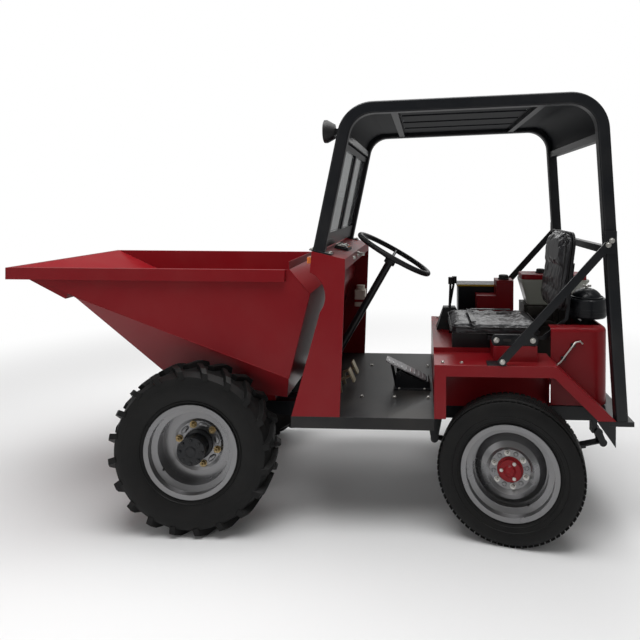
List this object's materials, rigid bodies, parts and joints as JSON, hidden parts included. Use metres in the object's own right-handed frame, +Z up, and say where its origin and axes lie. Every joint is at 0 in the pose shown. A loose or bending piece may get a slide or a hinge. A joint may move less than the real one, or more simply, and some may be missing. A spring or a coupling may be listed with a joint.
{
  "type": "front tipping site dumper",
  "caption": "Rear-steered site dumper with a forward tipping hopper, lugged drive tyres, folded sheet console, sprung rear axle and a canopied roll-over frame.",
  "frame": {"origin": "on the ground, in the middle of the machine's length and width", "axes": "-X is the way it drives, -Y its left side, +Z up"},
  "size_m": [3.03, 1.3652, 2.0805],
  "materials": {
    "red_paint": "gloss red paint on welded sheet",
    "black_frame": "black paint on steel",
    "deck_grey": "dark grey paint, scuffed",
    "black_plastic": "moulded black plastic",
    "amber_lens": "amber lens",
    "zinc": "yellow zinc plated steel",
    "white_plastic": "translucent white plastic",
    "seat_cover": "black vinyl cover",
    "engine_green": "grey-green painted casting",
    "glass": "clear pane",
    "tyre": "rubber",
    "silver_rim": "silver-grey wheel paint",
    "bright_rod": "hard chrome"
  },
  "bodies": {
    "chassis": {"chassis_frame": "black_frame", "rear_bumper": "black_frame", "deck": "deck_grey", "dash_console": "red_paint", "instruments": "black_plastic", "marker_lamps": "amber_lens", "steering_column": "black_frame", "pedals": "zinc", "brake_reservoir": "white_plastic", "fender_left": "red_paint", "fender_right": "red_paint", "seat_pedestal": "red_paint", "seat_frame": "black_frame", "seat_cushion": "seat_cover", "seat_back": "seat_cover", "engine_block": "engine_green", "water_hopper": "engine_green", "fuel_tank": "red_paint", "air_cleaner": "black_frame", "oil_tank": "red_paint", "battery_box": "black_frame", "gear_lever": "black_plastic", "hoop_left": "black_frame", "hoop_right": "black_frame", "canopy": "black_frame", "roof_bars": "black_frame", "brace_left": "black_frame", "brace_right": "black_frame", "windscreen_frame": "black_frame", "windscreen_glass": "glass", "work_lamps": "black_plastic", "front_axle": "black_frame", "rear_axle": "black_frame", "leaf_spring_left": "black_frame", "leaf_spring_right": "black_frame", "gearbox": "engine_green", "drive_shaft": "black_frame"},
    "skip": {"skip_shell": "red_paint", "skip_rim": "red_paint", "skip_brackets": "red_paint"},
    "cylinder_barrel": {"cylinder_barrel": "black_frame"},
    "cylinder_rod": {"cylinder_rod": "bright_rod"},
    "knuckle_left": {"knuckle_left": "black_frame"},
    "knuckle_right": {"knuckle_right": "black_frame"},
    "steering_rod": {"steering_rod": "zinc"},
    "steering_wheel": {"steering_wheel": "black_plastic"},
    "rear_hood": {"rear_hood": "red_paint"},
    "wheel_front_left": {"front_tyre_left": "tyre", "front_rim_left": "silver_rim", "front_hub_left": "black_frame"},
    "wheel_rear_left": {"rear_tyre_left": "tyre", "rear_rim_left": "silver_rim", "rear_hub_left": "red_paint"},
    "wheel_front_right": {"front_tyre_right": "tyre", "front_rim_right": "silver_rim", "front_hub_right": "black_frame"},
    "wheel_rear_right": {"rear_tyre_right": "tyre", "rear_rim_right": "silver_rim", "rear_hub_right": "red_paint"}
  },
  "joints": [
    {"name": "skip_tilt", "type": "hinge", "parent": "chassis", "child": "skip", "pos_m": [-0.805, 0, 0.495], "axis": [0, -1, 0], "range_deg": [0, 60]},
    {"name": "barrel_swing", "type": "hinge", "parent": "chassis", "child": "cylinder_barrel", "pos_m": [0.075, 0, 0.362], "axis": [0, -1, 0], "range_deg": [-12.4, 0.2]},
    {"name": "rod_slide", "type": "slide", "parent": "cylinder_barrel", "child": "cylinder_rod", "axis": [-0.9605, 0, 0.2782], "range_m": [-0.001, 0.26112]},
    {"name": "steer_left", "type": "hinge", "parent": "chassis", "child": "knuckle_left", "pos_m": [0.979, -0.43, 0.335], "axis": [0, 0, 1], "range_deg": [-13, 37]},
    {"name": "steer_right", "type": "hinge", "parent": "chassis", "child": "knuckle_right", "pos_m": [0.979, 0.43, 0.335], "axis": [0, 0, 1], "range_deg": [-13.2, 37.2]},
    {"name": "steer_rod", "type": "slide", "parent": "chassis", "child": "steering_rod", "axis": [0, 1, 0], "range_m": [-0.02473, 0.06947]},
    {"name": "steering_wheel", "type": "hinge", "parent": "chassis", "child": "steering_wheel", "pos_m": [0.388, -0.14, 1.283], "axis": [0.4924, 0, 0.8704], "range_deg": [-926, 326]},
    {"name": "hood_swing", "type": "hinge", "parent": "chassis", "child": "rear_hood", "pos_m": [1.474, 0, 0.566], "axis": [0, 1, 0], "range_deg": [0, 75]},
    {"name": "front_left_spin", "type": "hinge", "parent": "chassis", "child": "wheel_front_left", "pos_m": [-0.534, -0.533, 0.395], "axis": [0, 1, 0], "continuous": true},
    {"name": "rear_left_spin", "type": "hinge", "parent": "knuckle_left", "child": "wheel_rear_left", "pos_m": [0.95259, -0.55422, 0.335], "axis": [0.2079, 0.9781, 0], "continuous": true},
    {"name": "front_right_spin", "type": "hinge", "parent": "chassis", "child": "wheel_front_right", "pos_m": [-0.534, 0.533, 0.395], "axis": [0, 1, 0], "continuous": true},
    {"name": "rear_right_spin", "type": "hinge", "parent": "knuckle_right", "child": "wheel_rear_right", "pos_m": [1.00541, 0.55422, 0.335], "axis": [0.2079, 0.9781, 0], "continuous": true}
  ],
  "couplings": [
    {"joint": "barrel_swing", "follows": "skip_tilt", "ratio": -0.20333},
    {"joint": "rod_slide", "follows": "skip_tilt", "m_per_rad": 0.24839},
    {"joint": "steer_right", "follows": "steer_left", "ratio": 1},
    {"joint": "steer_rod", "follows": "steer_left", "m_per_rad": 0.1068},
    {"joint": "steering_wheel", "follows": "steer_left", "ratio": -25}
  ]
}
